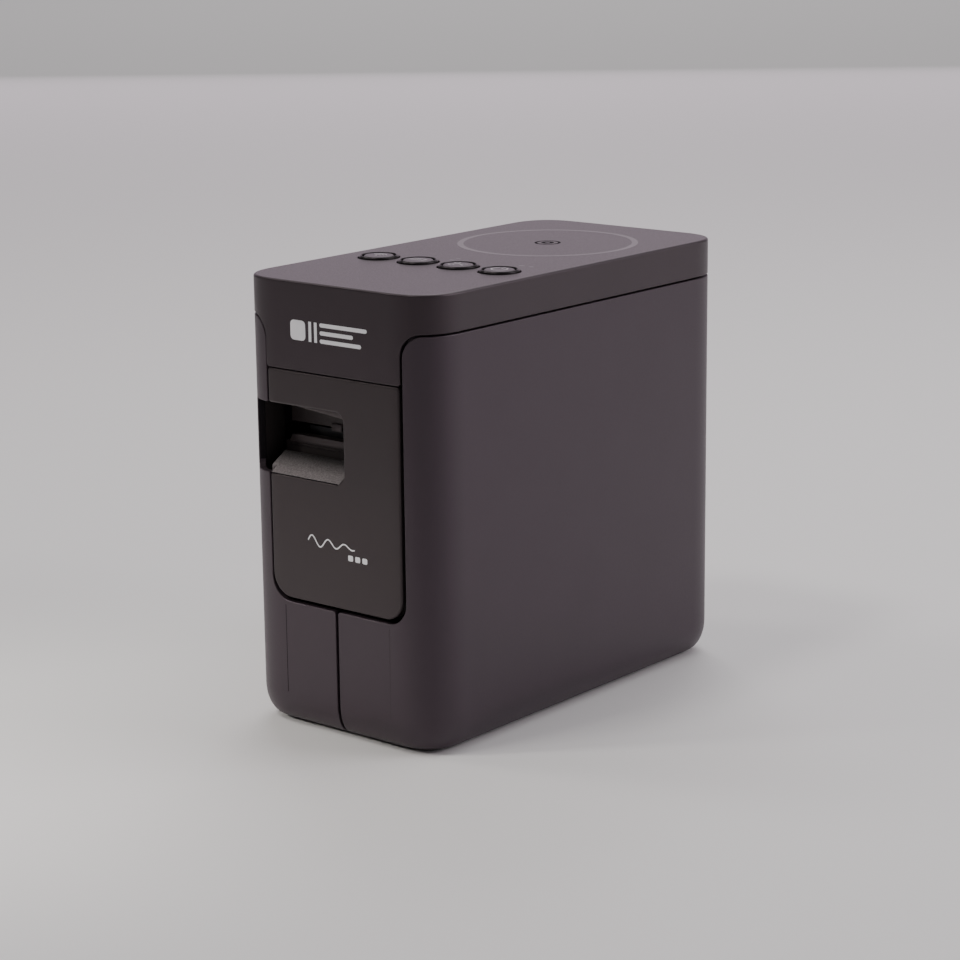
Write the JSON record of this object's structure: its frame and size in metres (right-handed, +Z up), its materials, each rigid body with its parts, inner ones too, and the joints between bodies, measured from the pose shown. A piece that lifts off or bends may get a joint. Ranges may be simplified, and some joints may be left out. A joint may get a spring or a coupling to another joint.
{
  "type": "desktop label maker",
  "caption": "Upright desktop label maker with a rounded case, round keys on top, a label exit in front and a side door over the tape bay.",
  "frame": {"origin": "middle of the case's footprint, on the surface that the feet stand on", "axes": "+Z up, -Y towards the front with the label exit, +X towards the fixed right side"},
  "size_m": [0.078, 0.152, 0.1438],
  "materials": {
    "case_plastic": "satin near-black, fine grain",
    "key_plastic": "satin near-black with printed signs",
    "inner_plastic": "matte dark grey",
    "steel": "bright",
    "gear_plastic": "natural acetal",
    "circuit_board": "green solder mask",
    "foot_rubber": "matte black",
    "platen_rubber": "ground black",
    "cable_film": "white film",
    "pack_grey": "matte grey",
    "contact_brass": "plated",
    "cassette_plastic": "smoke grey",
    "label_stock": "white laminate",
    "ink_ribbon": "black film",
    "alloy": "pressed",
    "ceramic": "glazed"
  },
  "bodies": {
    "case": {"right_shell": "case_plastic", "top_cover": "case_plastic", "front_panel": "case_plastic", "exit_chute": "inner_plastic", "foot_front_left": "foot_rubber", "foot_front_right": "foot_rubber", "foot_rear_left": "foot_rubber", "foot_rear_right": "foot_rubber", "hinge_pin_lower": "steel", "hinge_pin_upper": "steel", "key_board": "circuit_board", "tap_antenna": "circuit_board", "main_board": "circuit_board", "io_board": "circuit_board", "wireless_module": "steel", "key_cable": "cable_film", "dc_jack": "inner_plastic", "usb_port": "steel", "battery_box": "inner_plastic", "battery_pack": "pack_grey", "battery_contacts": "contact_brass", "chassis": "inner_plastic", "screw_front_low": "steel", "screw_front_high": "steel", "screw_rear_low": "steel", "screw_rear_high": "steel", "cassette_case": "cassette_plastic", "cassette_lid": "cassette_plastic", "label_tape": "label_stock", "holder_axle": "steel", "holder_spring": "steel", "idler_axle": "steel", "feed_motor": "steel", "head_heatsink": "alloy", "print_head": "ceramic", "fixed_blade": "steel", "cutter_frame": "steel", "cutter_pivot": "steel", "cutter_motor": "steel", "cassette_sensor": "inner_plastic"},
    "door": {"left_shell": "case_plastic"},
    "battery_door": {"battery_cover": "case_plastic"},
    "wireless_key": {"wireless_button": "key_plastic"},
    "mode_key": {"mode_button": "key_plastic"},
    "feed_cut_key": {"feed_cut_button": "key_plastic"},
    "power_key": {"power_button": "key_plastic"},
    "roller_lift": {"roller_holder": "inner_plastic"},
    "platen": {"platen_gear": "gear_plastic", "platen_roller": "platen_rubber", "platen_shaft": "steel"},
    "ribbon_drive": {"ribbon_gear": "gear_plastic", "ribbon_spool": "ink_ribbon"},
    "tape_roll": {"tape_spool": "label_stock"},
    "idler": {"idler_gear": "gear_plastic"},
    "feed_rotor": {"motor_pinion": "gear_plastic"},
    "blade": {"moving_blade": "steel"},
    "cutter_rotor": {"cutter_pinion": "gear_plastic"}
  },
  "joints": [
    {"name": "door_hinge", "type": "hinge", "parent": "case", "child": "door", "pos_m": [0, 0.0725, 0.066], "axis": [0, 0, -1], "range_deg": [0, 100]},
    {"name": "battery_door_hinge", "type": "hinge", "parent": "case", "child": "battery_door", "pos_m": [0.021, 0.0083, 0.001], "axis": [-1, 0, 0], "range_deg": [0, 75]},
    {"name": "wireless_key_press", "type": "slide", "parent": "case", "child": "wireless_key", "axis": [0, 0, -1], "range_m": [0, 0.0008], "stiffness_N_per_m": 1500},
    {"name": "mode_key_press", "type": "slide", "parent": "case", "child": "mode_key", "axis": [0, 0, -1], "range_m": [0, 0.0008], "stiffness_N_per_m": 1500},
    {"name": "feed_cut_key_press", "type": "slide", "parent": "case", "child": "feed_cut_key", "axis": [0, 0, -1], "range_m": [0, 0.0008], "stiffness_N_per_m": 1500},
    {"name": "power_key_press", "type": "slide", "parent": "case", "child": "power_key", "axis": [0, 0, -1], "range_m": [0, 0.0008], "stiffness_N_per_m": 1500},
    {"name": "roller_lift_hinge", "type": "hinge", "parent": "case", "child": "roller_lift", "pos_m": [0, -0.01, 0.11], "axis": [-1, 0, 0], "range_deg": [0, 6]},
    {"name": "platen_spin", "type": "hinge", "parent": "roller_lift", "child": "platen", "pos_m": [0, -0.036, 0.0982], "axis": [1, 0, 0], "continuous": true},
    {"name": "idler_spin", "type": "hinge", "parent": "case", "child": "idler", "pos_m": [0, -0.03239, 0.07934], "axis": [1, 0, 0], "continuous": true},
    {"name": "ribbon_spin", "type": "hinge", "parent": "case", "child": "ribbon_drive", "pos_m": [0, -0.034, 0.057], "axis": [1, 0, 0], "continuous": true},
    {"name": "motor_spin", "type": "hinge", "parent": "case", "child": "feed_rotor", "pos_m": [0, -0.01585, 0.07332], "axis": [1, 0, 0], "continuous": true},
    {"name": "roll_spin", "type": "hinge", "parent": "case", "child": "tape_roll", "pos_m": [0, 0.005, 0.0723], "axis": [1, 0, 0], "continuous": true},
    {"name": "blade_swing", "type": "hinge", "parent": "case", "child": "blade", "pos_m": [0.01, -0.0579, 0.0945], "axis": [0, -1, 0], "range_deg": [0, 18]},
    {"name": "cutter_spin", "type": "hinge", "parent": "case", "child": "cutter_rotor", "pos_m": [0.024, -0.058, 0.0945], "axis": [0, -1, 0], "range_deg": [-45, 0]}
  ],
  "couplings": [
    {"joint": "roller_lift_hinge", "follows": "door_hinge", "ratio": 0.06},
    {"joint": "platen_spin", "follows": "idler_spin", "ratio": -2},
    {"joint": "ribbon_spin", "follows": "idler_spin", "ratio": -1.3333},
    {"joint": "motor_spin", "follows": "idler_spin", "ratio": -2.6667},
    {"joint": "roll_spin", "follows": "idler_spin", "ratio": 0.35238},
    {"joint": "cutter_spin", "follows": "blade_swing", "ratio": -2.5}
  ]
}
